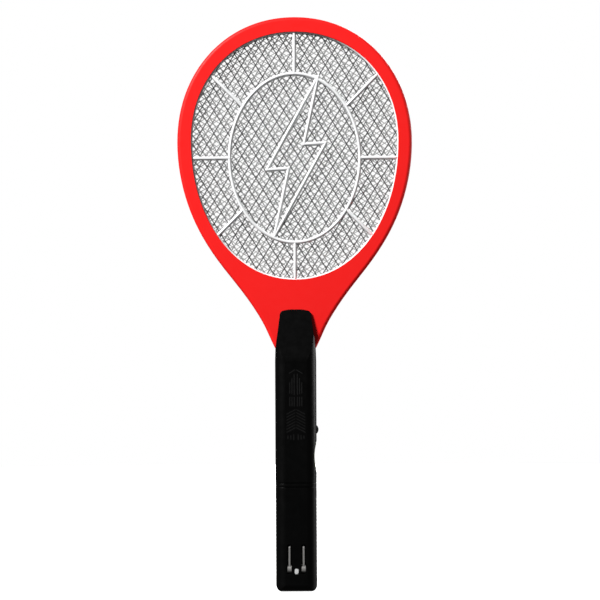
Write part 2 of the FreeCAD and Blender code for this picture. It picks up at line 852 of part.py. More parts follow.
def make_slide_switch():
    """Power switch: board-mounted body, its lever and the knob outside."""
    body_z = (knob_z - slide_body_reach[0], knob_z + slide_body_reach[1])
    body = box(slide_body_x, (switch_front_y, board_y[0]), body_z)
    slot_half = lever_half + lever_gap
    slot_z = (knob_z - slot_half, knob_z + knob_travel + slot_half)
    slot = box((lever_x[0] - 0.2, slide_body_x[1] + 1), around(0, slot_half), slot_z)
    save("slide_switch_body", [body.cut(slot)])
    save("slide_switch_lever", [box(lever_x, around(0, lever_half), around(knob_z, lever_half))])
    plate_z = (knob_z - knob_plate_reach[0], knob_z + knob_plate_reach[1])
    plate = box(knob_plate, around(0, knob_plate_half), plate_z)
    fork = box((fork_start_x, knob_plate[0] + 0.2), around(0, fork_half), around(knob_z, fork_half))
    socket_half = lever_half + lever_socket_gap
    socket_x = (fork_start_x - 0.5, lever_x[1] + 0.1)
    socket = box(socket_x, around(0, socket_half), around(knob_z, socket_half))
    top_x = handle_half_width + knob_proud
    bow = (knob_half**2 + knob_proud**2) / (2 * knob_proud)
    bump = front_to_back(top_x - bow, knob_z, bow, around(0, knob_half_depth))
    cap = box((knob_plate[1] - 0.2, top_x + 1), around(0, 5), around(knob_z, knob_half)).common(bump)
    stalk_x = (knob_plate[1] - 0.2, handle_half_width)
    stalk = box(stalk_x, around(0, knob_half_depth), around(knob_z, knob_half))
    save("slide_switch_knob", [joined([plate, fork, cap, stalk]).cut(socket)])


# Plug


def make_plug():
    """Fold-out mains plug: two blades on a hub that turns on a pin, with its contacts."""
    bore = pivot_rod(pin_half + 1.5, pin_radius + pin_gap)
    save("plug_hub", [pivot_rod(blade_x - knuckle_half, hub_radius).cut(bore)])
    for name, side in (("plug_blade_left", -1), ("plug_blade_right", 1)):
        x = side * blade_x
        sides = [(x + end * knuckle_half, pivot_y, pivot_z) for end in SIDES]
        knuckle = rod(sides[0], sides[1], knuckle_radius)
        wide = blade_width / 2
        blank = rounded(
            [
                (-wide, pivot_z),
                (wide, pivot_z),
                (wide, blade_tip_z),
                (-wide, blade_tip_z),
            ],
            [0, 0, blade_corner, blade_corner],
        )
        blank.rotate(Vector(0, 0, 0), Vector(0, 0, 1), 90)
        blank.translate(Vector(x - blade_thickness / 2, pivot_y, 0))
        blade = blank.extrude(Vector(blade_thickness, 0, 0))
        eye = rod((x - 3, pivot_y, blade_eye_z), (x + 3, pivot_y, blade_eye_z), blade_eye_radius)
        save(name, [joined([knuckle, blade.cut(eye)]).cut(bore)])
    save("plug_pin", [pivot_rod(pin_half, pin_radius)])
    contacts = []
    for side in SIDES:
        x = around(side * blade_x, contact_half)
        low = pivot_z - contact_reach
        pad = box(x, contact_pad_y, around(pivot_z, contact_reach))
        leg = box(x, (contact_pad_y[1] - 0.1, charger_y[0]), (low, low + contact_leg))
        contacts.append(joined([pad, leg]))
    save("plug_contacts", contacts)


# Electronics


def axial(centre, size, half_span, way, board_face):
    """Component along X or Z with wire leads down to a board; its size is half a length and a radius."""
    x, y, z = centre
    half_body, radius = size
    along = Vector(1, 0, 0) if way == "x" else Vector(0, 0, 1)
    middle = Vector(x, y, z)
    shapes = [rod(tuple(middle - along * half_body), tuple(middle + along * half_body), radius)]
    shapes.append(rod(tuple(middle - along * half_span), tuple(middle + along * half_span), lead_radius))
    for side in SIDES:
        foot = middle + along * (side * (half_span - 0.5))
        shapes.append(rod(tuple(foot), (foot.x, board_face, foot.z), foot_radius))
    return joined(shapes)


def make_circuit():
    """High-voltage board and what is soldered to it."""
    board = box(board_x, board_y, board_z)
    holes = [front_to_back(x, z, board_hole_radius, (2, 6)) for x, z in board_screw_places]
    save("circuit_board", [board.cut(Part.makeCompound(holes))])
    face = board_y[0]
    screws = [mirror_screw(x, z, face) for x, z in board_screw_places]
    screws += [mirror_screw(x, z, charger_y[0]) for x, z in charger_screw_places]
    save("board_screws", screws)

    make_transformer(face)
    save("hv_capacitor", [film_capacitor(large_film_x, (large_film_front, face), large_film_z)])
    small = []
    for z in row_heights(small_film_row):
        small.append(film_capacitor(small_film_x, (small_film_front, face), (z, z + small_film_width)))
    save("multiplier_capacitors", small)
    diode_y = face - diode_lift
    diodes = []
    for z in row_heights(diode_row):
        diodes.append(axial((board_row_x, diode_y, z), diode_size, row_half_span, "x", face))
    save("hv_diodes", diodes)
    chain_y = face - resistor_lift
    chain = []
    for z in row_heights(resistor_row):
        chain.append(axial((board_row_x, chain_y, z), resistor_size, row_half_span, "x", face))
    save("resistors", chain)
    case = box(around(transistor_x, transistor_half), transistor_y, transistor_z)
    legs = []
    for i in (-1, 0, 1):
        leg_x = around(transistor_x + transistor_pitch * i, transistor_leg_half[0])
        leg_z = around(transistor_leg_z, transistor_leg_half[1])
        legs.append(box(leg_x, (transistor_y[1] - 0.5, face), leg_z))
    hole_y, hole_radius = transistor_hole
    below = (transistor_x, hole_y, transistor_z[0] - 1)
    above = (transistor_x, hole_y, transistor_z[1] + 1)
    save("transistor", [joined([case.cut(rod(below, above, hole_radius))] + legs)])


def row_heights(places):
    """Heights of a row given as (first, pitch, count)."""
    first, pitch, count = places
    return [first + pitch * i for i in range(count)]


def make_transformer(face):
    """Step-up transformer: a core with two windows, a bobbin with two flanges, and the winding."""
    x, y, z = transformer_centre
    core = box(around(x, core_half[0]), around(y, core_half[1]), around(z, core_half[2]))
    windows = []
    for side in SIDES:
        window_x = sorted(x + side * reach for reach in core_window_x)
        windows.append(box(window_x, around(y, core_half[1] + 0.5), around(z, core_window_half_z)))
    save("transformer_core", [core.cut(Part.makeCompound(windows))])
    spool = box(around(x, spool_half[0]), around(y, spool_half[1]), around(z, spool_half[2]))
    flanges = []
    for side in SIDES:
        flange_z = sorted((z + side * (spool_half[2] - flange_thickness), z + side * spool_half[2]))
        flanges.append(box(around(x, flange_half), (y - flange_front, face), flange_z))
    through = around(z, spool_half[2] + 1.1)
    leg_hole = box(around(x, core_window_x[0] + core_fit), around(y, core_half[1] + core_fit), through)
    save("transformer_bobbin", [joined([spool] + flanges).cut(leg_hole)])
    coil = box(around(x, winding_half[0]), around(y, winding_half[1]), around(z, winding_half[2]))
    coil = coil.makeFillet(winding_corner, [e for e in coil.Edges if abs(e.tangentAt(0).z) > 0.9])
    bore = box(around(x, spool_half[0] + core_fit / 2), around(y, spool_half[1] + core_fit / 2), through)
    save("transformer_winding", [coil.cut(bore)])


def mirror_screw(x, z, face):
    """Small board screw driven towards the back."""
    driven = screw(x, z, -face, board_screw_head, board_shank_radius, board_screw_length)
    driven.rotate(Vector(x, 0, z), Vector(0, 0, 1), 180)
    return driven


def film_capacitor(x, y, z):
    """Boxed film capacitor with rounded upright corners, standing on two leads."""
    case = box(x, (y[0], y[1] - film_lift), z)
    case = case.makeFillet(film_corner, [e for e in case.Edges if abs(e.tangentAt(0).y) > 0.9])
    middle = (z[0] + z[1]) / 2
    places = (x[0] + film_lead_inset, x[1] - film_lead_inset)
    leads = [rod((at, y[1] - 1.5, middle), (at, y[1], middle), lead_radius) for at in places]
    return joined([case] + leads)


def make_charger():
    """Charging board behind the plug, its parts, and the light pipe to the front."""
    board = box(charger_x, charger_y, charger_z)
    holes = [front_to_back(x, z, board_hole_radius, (2, 6)) for x, z in charger_screw_places]
    save("charger_board", [board.cut(Part.makeCompound(holes))])
    face = charger_y[0]
    save("dropper_capacitor", [film_capacitor(dropper_x, (dropper_front, face), dropper_z)])
    diodes = []
    for x, z in both_sides([(reach, rectifier_z) for reach in rectifier_x]):
        diodes.append(axial((x, face - diode_lift, z), rectifier_size, rectifier_half_span, "z", face))
    save("rectifier_diodes", diodes)
    rim_y = (lamp_y[1] - lamp_rim, lamp_y[1])
    lamp = [front_to_back(0, lamp_z, lamp_radius, lamp_y), front_to_back(0, lamp_z, lamp_rim_radius, rim_y)]
    lead_x, lead = lamp_lead
    lamp += [front_to_back(side * lead_x, lamp_z, lead, (0, face)) for side in SIDES]
    save("charge_led", [joined(lamp)])
    lens = box(around(0, lens_half), (-handle_half_depth - 0.1, -14.85), lens_z)
    lens = lens.makeFillet(lens_corner, [e for e in lens.Edges if abs(e.tangentAt(0).y) > 0.9])
    pipe = box(around(0, pipe_half), (-15.5, lamp_y[0] - 0.2), pipe_z)
    save("charge_light_pipe", [joined([lens, pipe])])


def make_battery():
    """Sealed rechargeable battery, its terminal tags and the foam behind it."""
    case = box(battery_x, battery_y, battery_z)
    save("battery", [case.makeFillet(battery_corner, case.Edges)])
    top = battery_z[1]
    tags = []
    for side in SIDES:
        tag_x = around(side * battery_tag_x, battery_tag_half)
        tags.append(box(tag_x, battery_tag_y, (top, top + battery_tag_length)))
    save("battery_terminals", tags)
    save("battery_foam_pad", [box(around(0, foam_half), (battery_y[1], foam_back), foam_z)])


def make_wires():
    """Insulated wires, grouped by colour."""
    top = 69.0
    lug_y = outer_grid_inside - lug_barrel_radius
    high_voltage = [(0, 2.1, top), (0, 2.1, 78), (0.5, 0.6, 98), (-0.4, 1.6, 120)]
    high_voltage += [(0, inner_grid_half + lug_barrel_radius, 142)]
    to_front = [(-2.6, 2.1, top), (-2.6, 1.6, 80), (-3.2, -1.2, 101), (-9.0, -lug_y, 116)]
    to_front += [(-tab_x, -lug_y, 129), (-tab_x, -lug_y, 142)]
    to_rear = [(2.6, 2.1, top), (2.8, 1.8, 80), (3.4, 1.6, 101), (9.0, lug_y, 116)]
    to_rear += [(tab_x, lug_y, 129), (tab_x, lug_y, 142)]
    groups = {"red_wires": [high_voltage], "black_wires": [to_front, to_rear]}
    for name, side in (("red_wires", 1), ("black_wires", -1)):
        battery_lead = [(6.0, 2.9, -36), (6.0, 2.0, -27), (5.6, 2.1, -18)]
        charger_lead = [
            (9.0, 3.1, -83),
            (12.6, 2.0, -76),
            (13.6, 1.0, -56),
            (13.3, 1.0, -38),
            (7.2, -2.6, -31),
            (2.6, -0.6, -25),
            (2.2, 2.1, -18),
        ]
        for route in (battery_lead, charger_lead):
            groups[name].append([(side * x, y, z) for x, y, z in route])
    for name, routes in groups.items():
        save(name, [tube(route, wire_radius) for route in routes])


os.makedirs("parts", exist_ok=True)
make_head()
make_grids()
make_shells()
make_trigger()
make_slide_switch()
make_plug()
make_circuit()
make_charger()
make_battery()
make_wires()
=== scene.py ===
"""Electric fly swatter: materials, wire grids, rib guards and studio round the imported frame.

Metres, in the frame's own axes: X across the head, Z up along the racket, and the front faces -Y.
"""

import math

import bmesh
import bpy
from mathutils import Matrix, Vector


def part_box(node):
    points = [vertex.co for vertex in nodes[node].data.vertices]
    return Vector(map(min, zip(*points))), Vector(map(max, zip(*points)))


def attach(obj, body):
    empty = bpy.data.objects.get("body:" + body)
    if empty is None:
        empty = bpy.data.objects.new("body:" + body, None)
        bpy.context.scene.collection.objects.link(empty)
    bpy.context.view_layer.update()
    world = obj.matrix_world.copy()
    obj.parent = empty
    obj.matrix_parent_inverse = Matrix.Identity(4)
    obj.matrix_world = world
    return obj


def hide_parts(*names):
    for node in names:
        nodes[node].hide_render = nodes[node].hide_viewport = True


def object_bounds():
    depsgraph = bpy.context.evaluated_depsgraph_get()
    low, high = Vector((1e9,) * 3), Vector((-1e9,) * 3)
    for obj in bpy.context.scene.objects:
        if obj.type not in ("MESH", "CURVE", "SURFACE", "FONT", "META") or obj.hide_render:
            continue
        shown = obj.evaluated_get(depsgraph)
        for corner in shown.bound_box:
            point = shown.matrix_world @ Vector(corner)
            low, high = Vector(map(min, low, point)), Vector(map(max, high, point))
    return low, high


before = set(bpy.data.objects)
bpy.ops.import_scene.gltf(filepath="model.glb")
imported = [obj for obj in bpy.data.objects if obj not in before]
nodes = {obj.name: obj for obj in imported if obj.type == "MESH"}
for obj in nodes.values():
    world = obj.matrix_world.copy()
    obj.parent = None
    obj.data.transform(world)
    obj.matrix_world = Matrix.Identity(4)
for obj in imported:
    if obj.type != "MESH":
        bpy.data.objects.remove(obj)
cad_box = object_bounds()

MM = 0.001
BODY = "racket"

# Mesh opening, as in the part: two half ovals that share their width, slightly squarer than ellipses.
EGG_POWER = 2.08
OPENING_CENTRE_Z = 285.3 * MM
OPENING_HALF_WIDTH = 93.6 * MM
OPENING_RISE = 98.1 * MM
OPENING_DROP = 125.5 * MM
OUTLINE_POINTS = 240
PLATE_MARGIN = 4.9 * MM

# The opening's edge along a direction is found by halving the way to a place past it, this many times.
PAST_OPENING = 400.0 * MM
HALVINGS = 40

# Rib guard. A rib's end narrows towards a small share of its width.
FLANGE_INSET = 1.2 * MM
FLANGE_HEIGHT = 1.6 * MM
FLANGE_EASE = 0.35 * MM
GUARD_CENTRE_Z = 269.6 * MM
RING_HALF_WIDTH = 58.8 * MM
RING_HALF_HEIGHT = 76.1 * MM
RING_POINTS = 180
RIB_WIDTH = 3.2 * MM
RIB_STEPS = 8
RIB_FULLNESS = 0.9
RIB_END_STEPS = 4
SMALLEST_END = 0.05
SPOKE_COUNT = 8
SPOKE_INSET = 1.9 * MM
BOLT_CENTRE = (1.5 * MM, 271.0 * MM)
BOLT_HALF = [(20.0 * MM, 72.0 * MM), (-26.5 * MM, -12.0 * MM), (-7.0 * MM, -11.0 * MM)]

# Wire grids: pitches across and along, wire radii, and for each a place where two wires cross.
# The wires run on into the edge band. Probing steps along a line tell whether it crosses the opening.
OUTER_PITCH = (12.6 * MM, 20.4 * MM)
INNER_PITCH = (7.07 * MM, 4.54 * MM)
OUTER_WIRE = 0.47 * MM
INNER_WIRE = 0.36 * MM
FRONT_CROSSING = (2.8 * MM, 333.0 * MM)
REAR_CROSSING = (7.8 * MM, 333.0 * MM)
INNER_CROSSING = (0.0, 285.0 * MM)
WIRE_SIDES = 6
WIRE_REACH = 2.5 * MM
HALF_SPAN = 140.0 * MM
PROBE_STEP = 2.0 * MM
PROBE_COUNT = 60
BAND_INSIDE = 1.0 * MM
BAND_EASE = 0.2 * MM
LIP_SHARE = 0.25
TAB_WIDTH = 4.0 * MM
TAB_LENGTH = 13.0 * MM
TAB_X = 12.0 * MM

# Grip relief: bars in rows of three on each side, chevrons, and two slanted bars that meet in a point.
# A pair is a first value and its step from one bar to the next.
RELIEF_THICKNESS = 0.24 * MM
BAR_WIDTH = 0.7 * MM
SLANT_WIDTH = 0.6 * MM
BARS_PER_SIDE = 3
BAR_X = (1.4 * MM, 2.0 * MM)
LONG_BAR_Z = (65.5 * MM, -1.6 * MM)
LONG_BAR_LENGTH = (19.0 * MM, -4.5 * MM)
SHORT_BAR_Z = 50.0 * MM
SHORT_BAR_LENGTH = 8.5 * MM
FOOT_BAR_X = (2.0 * MM, 2.6 * MM)
FOOT_BAR_Z = 18.0 * MM
FOOT_BAR_LENGTH = (5.0 * MM, -1.0 * MM)
CHEVRON_COUNT = 7
CHEVRON_X = 4.4 * MM
CHEVRON_Z = (24.5 * MM, 2.7 * MM)
CHEVRON_LENGTH = 9.0 * MM
CHEVRON_SLANT = math.radians(-62)
POINT_X = 3.3 * MM
POINT_Z = 77.0 * MM
POINT_LENGTH = 6.5 * MM
POINT_SLANT = math.radians(-58)

# Grain of the materials. A noise is its scale, detail and roughness, and those of the skin and the marks
# take their scale from the material. A span is where a ramp starts and ends, and a gloss is the shares of
# the roughness at the smoothest and the roughest spots.
DRIFT_NOISE = (14.0, 4.0, 0.55)
SCUFF_NOISE = (160.0, 5.0, 0.7)
SKIN_NOISE = (2.0, 0.55)
MARK_NOISE = (4.0, 0.6)
TINT_SPAN = (0.3, 0.7)
PLASTIC_SPAN = (0.35, 0.75)
PLASTIC_GLOSS = (0.88, 1.15)
METAL_SPREAD = 0.10
METAL_SPAN = (0.25, 0.8)
METAL_GLOSS = (0.8, 1.3)
SKIN_DEPTH = 0.2 * MM
MARK_DEPTH = 0.1 * MM
BEVEL_SAMPLES = 4

# Studio. A light is its name, place, size and power.
LIGHT_TARGET = (0.0, 0.0, 0.16)
LIGHTS = [
    ("key", (-1.55, -1.35, 1.75), 0.6, 120.0),
    ("side", (2.5, 0.75, 0.5), 1.0, 34.0),
    ("rear", (0.9, 2.0, 1.2), 1.2, 55.0),
]
BACKGROUND_SEEN = 1.0
BACKGROUND_LIGHT = 0.08
FLOOR_RADIUS = 1.6
FLOOR_SIDES = 96
FLOOR_BEHIND = 0.4
FLOOR_DROP = 0.4 * MM
FLOOR_GLOW = 0.8

# Camera, and how wide its view is at the plane of the head's front.
CAMERA_DISTANCE = 2.6
CAMERA_X = 0.0042
CAMERA_Z = 0.1413
CAMERA_ROLL = math.radians(0.27)
SENSOR_WIDTH = 36.0
VIEW_WIDTH = 0.540
VIEW_PLANE = 0.012
CLIP_END = 60.0

SIDES = (-1, 1)
WHITE_LIGHT = (1.0, 1.0, 1.0, 1.0)


# Materials


def new_material(name):
    """New node material, its tree and its principled shader."""
    material = bpy.data.materials.new(name)
    material.use_nodes = True
    tree = material.node_tree
    shader = tree.nodes["Principled BSDF"]
    return material, tree, shader


def node(tree, kind, **inputs):
    """Adds a node and sets its inputs by name."""
    made = tree.nodes.new(kind)
    for key, value in inputs.items():
        made.inputs[key.replace("_", " ")].default_value = value
    return made


def object_noise(tree, scale, detail, roughness):
    """Noise in object coordinates."""
    coords = tree.nodes.new("ShaderNodeTexCoord")
    noise = node(tree, "ShaderNodeTexNoise", Scale=scale, Detail=detail, Roughness=roughness)
    tree.links.new(coords.outputs["Object"], noise.inputs["Vector"])
    return noise


def ramp(tree, source, span, colours):
    """Maps a value to two colours over a span."""
    made = tree.nodes.new("ShaderNodeValToRGB")
    for element, position, colour in zip(made.color_ramp.elements, span, colours):
        element.position = position
        element.color = (*colour, 1.0)
    tree.links.new(source, made.inputs["Fac"])
    return made


def grey(value):
    """A neutral colour."""
    return (value, value, value)


def shade(colour, factor):
    """The colour made darker or lighter."""
    return tuple(min(1.0, c * factor) for c in colour)


def tints(colour, spread):
    """The colour made darker and lighter by spread."""
    return [shade(colour, 1 - spread), shade(colour, 1 + spread)]


def glosses(roughness, shares):
    """Roughness at the smoothest and the roughest spots, as greys."""
    return [grey(min(1.0, roughness * share)) for share in shares]


def plastic(name, colour, roughness, grain=900.0, bump=0.06, spread=0.06, specular=0.5, edge=0.0, **extra):
    """Moulded plastic: slight colour drift, uneven gloss, fine skin, and soft edges where edge is given."""
    material, tree, shader = new_material(name)
    drift = object_noise(tree, *DRIFT_NOISE)
    tint = ramp(tree, drift.outputs["Fac"], TINT_SPAN, tints(colour, spread))
    tree.links.new(tint.outputs["Color"], shader.inputs["Base Color"])
    scuff = object_noise(tree, *SCUFF_NOISE)
    gloss = ramp(tree, scuff.outputs["Fac"], PLASTIC_SPAN, glosses(roughness, PLASTIC_GLOSS))
    tree.links.new(gloss.outputs["Color"], shader.inputs["Roughness"])
    skin = object_noise(tree, grain, *SKIN_NOISE)
    relief = node(tree, "ShaderNodeBump", Strength=bump, Distance=SKIN_DEPTH)
    tree.links.new(skin.outputs["Fac"], relief.inputs["Height"])
    if edge:
        bevel = tree.nodes.new("ShaderNodeBevel")
        bevel.samples = BEVEL_SAMPLES
        bevel.inputs["Radius"].default_value = edge
        tree.links.new(bevel.outputs["Normal"], relief.inputs["Normal"])
    tree.links.new(relief.outputs["Normal"], shader.inputs["Normal"])
    shader.inputs["Specular IOR Level"].default_value = specular
    for key, value in extra.items():
        shader.inputs[key.replace("_", " ")].default_value = value
    return material


def metal(name, colour, roughness, grain, stretch=(1.0, 1.0, 1.0), bump=0.05, metallic=1.0):
    """Metal with drawn or tumbled marks and patchy gloss; less metallic where its plating is matte."""
    material, tree, shader = new_material(name)
    coords = tree.nodes.new("ShaderNodeTexCoord")
    mapping = node(tree, "ShaderNodeMapping", Scale=stretch)
    tree.links.new(coords.outputs["Object"], mapping.inputs["Vector"])
    detail, unevenness = MARK_NOISE
    marks = node(tree, "ShaderNodeTexNoise", Scale=grain, Detail=detail, Roughness=unevenness)
    tree.links.new(mapping.outputs["Vector"], marks.inputs["Vector"])
    tint = ramp(tree, marks.outputs["Fac"], TINT_SPAN, tints(colour, METAL_SPREAD))
    gloss = ramp(tree, marks.outputs["Fac"], METAL_SPAN, glosses(roughness, METAL_GLOSS))
    relief = node(tree, "ShaderNodeBump", Strength=bump, Distance=MARK_DEPTH)
    tree.links.new(marks.outputs["Fac"], relief.inputs["Height"])
    tree.links.new(tint.outputs["Color"], shader.inputs["Base Color"])
    tree.links.new(gloss.outputs["Color"], shader.inputs["Roughness"])
    tree.links.new(relief.outputs["Normal"], shader.inputs["Normal"])
    shader.inputs["Metallic"].default_value = metallic
    return material


def dress(material, *names):
    """Gives CAD nodes a material."""
    for name in names:
        slots = nodes[name].data.materials
        slots.clear()
        slots.append(material)


RED = plastic("red_abs", (0.92, 0.015, 0.014), 0.46, grain=700.0, bump=0.04, spread=0.02, specular=0.14)
BLACK = plastic(
    "black_abs", grey(0.0006), 0.38,
    grain=1500.0, bump=0.14, spread=0.3, specular=0.15, edge=0.4 * MM,
)
WHITE = plastic("rib_plastic", (0.90, 0.905, 0.91), 0.22, grain=400.0, bump=0.03, spread=0.02, specular=0.5)
NATURAL = plastic("spacer_plastic", (0.80, 0.80, 0.78), 0.4, bump=0.05, spread=0.03)
# Grip relief: black plastic given a grey a little lighter than the handle, a painted highlight for the faint
# sheen on its raised bars.
RELIEF = plastic("relief_painted_highlight", grey(0.010), 0.5, grain=2500.0, bump=0.2, spread=0.25, specular=0.2)
LIME = plastic("lime_button", (0.78, 0.92, 0.16), 0.3, grain=800.0, bump=0.05, spread=0.04, edge=0.4 * MM)
KNOB = plastic(
    "knob_plastic", grey(0.003), 0.45,
    grain=1200.0, bump=0.15, spread=0.2, specular=0.3, edge=0.3 * MM,
)
FRONT_METAL = metal("front_grid_metal", grey(0.16), 0.42, grain=900.0, metallic=0.9)
REAR_METAL = metal("rear_grid_metal", grey(0.42), 0.45, grain=900.0, metallic=0.4)
INNER_METAL = metal("inner_grid_metal", grey(0.52), 0.40, grain=900.0, metallic=0.3)
NICKEL = metal(
    "nickel_plate", (0.46, 0.45, 0.435), 0.30,
    stretch=(1.0, 1.0, 0.15), grain=900.0, bump=0.08, metallic=0.6,
)
ZINC = metal("zinc_steel", grey(0.48), 0.36, grain=700.0, bump=0.08)
LENS = plastic("light_pipe", (0.92, 0.93, 0.93), 0.18, bump=0.02, spread=0.02, Transmission_Weight=0.35)
HUB = plastic("hub_plastic", grey(0.010), 0.5, grain=1200.0, bump=0.15, spread=0.2, specular=0.3)


# Outlines


def egg_points(grow):
    """Points round the mesh opening, moved out by grow."""
    points = []
    for i in range(OUTLINE_POINTS):
        angle = 2 * math.pi * i / OUTLINE_POINTS
        height = OPENING_RISE if math.sin(angle) > 0 else OPENING_DROP
        across, up = (math.copysign(abs(v) ** (2 / EGG_POWER), v) for v in (math.cos(angle), math.sin(angle)))
        x = (OPENING_HALF_WIDTH + grow) * across
        points.append((x, OPENING_CENTRE_Z + (height + grow) * up))
    return points


def inside_egg(x, z, grow):
    """Whether a point lies inside the opening moved out by grow."""
    rise = z - OPENING_CENTRE_Z
    height = (OPENING_RISE if rise > 0 else OPENING_DROP) + grow
    return abs(x / (OPENING_HALF_WIDTH + grow)) ** EGG_POWER + abs(rise / height) ** EGG_POWER < 1


def egg_reach(x, z, way_x, way_z, grow):
    """Distance from a point inside the opening to its edge along a direction."""
    near = 0.0
    far = PAST_OPENING
    for _ in range(HALVINGS):
        middle = (near + far) / 2
        if inside_egg(x + way_x * middle, z + way_z * middle, grow):
            near = middle
        else:
            far = middle
    return near


# Meshes


def finish_piece(name, mesh, material, *replaced, slot, smooth=True):
    """Makes a shown object of a bmesh, riding on the racket and standing for the CAD nodes named."""
    bmesh.ops.recalc_face_normals(mesh, faces=mesh.faces)
    data = bpy.data.meshes.new(name)
    mesh.to_mesh(data)
    mesh.free()
    if smooth:
        data.shade_smooth()
    piece = bpy.data.objects.new(name, data)
    bpy.context.scene.collection.objects.link(piece)
    data.materials.append(material)
    if replaced:
        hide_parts(*replaced)
    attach(piece, BODY)


def sweep(mesh, rows, closed):
    """Joins closed rows of points into a skin, which closes on its first row or is capped at both ends."""
    made = [[mesh.verts.new(p) for p in row] for row in rows]
    count = len(made[0])
    pairs = list(zip(made, made[1:]))
    if closed:
        pairs.append((made[-1], made[0]))
    for a, b in pairs:
        for i in range(count):
            j = (i + 1) % count
            mesh.faces.new((a[i], a[j], b[j], b[i]))
    if not closed:
        mesh.faces.new(made[0])
        mesh.faces.new(made[-1])


def wire(mesh, start, end, radius):
    """Straight round wire between two points of a plane that faces Y."""
    start = Vector(start)
    end = Vector(end)
    across = (end - start).normalized().cross(Vector((0, 1, 0)))
    rim = []
    for k in range(WIRE_SIDES):
        angle = 2 * math.pi * k / WIRE_SIDES
        rim.append(across * (radius * math.cos(angle)) + Vector((0, radius * math.sin(angle), 0)))
    rows = [[centre + offset for offset in rim] for centre in (start, end)]
    sweep(mesh, rows, False)


def diamond_wires(mesh, y, pitch, crossing, radius, grow):
    """Both families of wires of a diamond grid, cut to the opening moved out by grow."""
    half = Vector((pitch[0] / 2, pitch[1] / 2))
    centre = Vector((0, OPENING_CENTRE_Z))
    for sign in SIDES:
        way = Vector((half.x, sign * half.y)).normalized()
        side = Vector((-way.y, way.x))
        gap = abs(Vector((pitch[0], 0)).dot(side))
        count = int(HALF_SPAN / gap) + 1
        offset = (Vector(crossing).dot(side) - centre.dot(side)) / gap
        offset -= round(offset)
        for i in range(-count, count + 1):
            base = centre + side * ((i + offset) * gap)
            inside = find_inside(base, way, grow)
            if inside is None:
                continue
            forward = egg_reach(inside.x, inside.y, way.x, way.y, grow)
            back = egg_reach(inside.x, inside.y, -way.x, -way.y, grow)
            a = inside - way * back
            b = inside + way * forward
            wire(mesh, (a.x, y, a.y), (b.x, y, b.y), radius)


def find_inside(base, way, grow):
    """A point of the line that lies inside the opening, or None."""
    for step in range(-PROBE_COUNT, PROBE_COUNT + 1):
        point = base + way * (step * PROBE_STEP)
        if inside_egg(point.x, point.y, grow):
            return point
    return None


def flat_ring(mesh, outer, inner, front, back, ease):
    """Egg-shaped ring with its inner front edge eased."""
    lip = front + (back - front) * LIP_SHARE
    rows = []
    for far, eased, near in zip(egg_points(outer), egg_points(inner + ease), egg_points(inner)):
        places = [(far, back), (far, front), (eased, front), (near, lip), (near, back)]
        rows.append([(x, y, z) for (x, z), y in places])
    sweep(mesh, rows, True)


def make_grid(name, node_name, pitch, crossing, radius, material, tab_x):
    """One wire grid with its edge band and solder tab, halfway through the thickness of its node."""
    mesh = bmesh.new()
    low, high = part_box(node_name)
    y = (low[1] + high[1]) / 2
    diamond_wires(mesh, y, pitch, crossing, radius, WIRE_REACH)
    flat_ring(mesh, PLATE_MARGIN, BAND_INSIDE, low[1], high[1], BAND_EASE)
    size = (TAB_WIDTH, high[1] - low[1], TAB_LENGTH)
    place = Matrix.Translation((tab_x, y, low[2] + size[2] / 2)) @ Matrix.Diagonal((*size, 1.0))
    bmesh.ops.create_cube(mesh, size=1.0, matrix=place)
    finish_piece(name, mesh, material, node_name, slot="grid_wire", smooth=False)


def half_round(rise):
    """Profile of a rib across its width: (sideways, height) points from one foot to the other."""
    profile = []
    for i in range(RIB_STEPS + 1):
        angle = math.pi * i / RIB_STEPS
        profile.append((-math.cos(angle) * RIB_WIDTH / 2, rise * math.sin(angle) ** RIB_FULLNESS))
    return profile


def rib(mesh, start, end, base, rise):
    """Straight rib with tapered round ends, standing from base by rise along Y."""
    start = Vector((start[0], 0, start[1]))
    end = Vector((end[0], 0, end[1]))
    way = (end - start).normalized()
    across = way.cross(Vector((0, 1, 0)))
    first_end = []
    last_end = []
    for i in range(RIB_END_STEPS + 1):
        angle = math.pi / 2 * i / RIB_END_STEPS
        past = way * (math.cos(angle) * RIB_WIDTH / 2)
        size = max(SMALLEST_END, math.sin(angle))
        first_end.append((start - past, size))
        last_end.append((end + past, size))
    rows = []
    for centre, size in first_end + last_end[::-1]:
        row = []
        for sideways, height in half_round(rise):
            row.append(centre + across * (sideways * size) + Vector((0, base + height * math.sqrt(size), 0)))
        rows.append(row)
    sweep(mesh, rows, False)


def ring_rib(mesh, base, rise):
    """Elliptical rib."""
    rows = []
    for i in range(RING_POINTS):
        angle = 2 * math.pi * i / RING_POINTS
        over = math.cos(angle)
        up = math.sin(angle)
        centre = Vector((RING_HALF_WIDTH * over, base, GUARD_CENTRE_Z + RING_HALF_HEIGHT * up))
        out = Vector((over / RING_HALF_WIDTH, 0, up / RING_HALF_HEIGHT)).normalized()
        rows.append([centre + out * side + Vector((0, height, 0)) for side, height in half_round(rise)])
    sweep(mesh, rows, True)


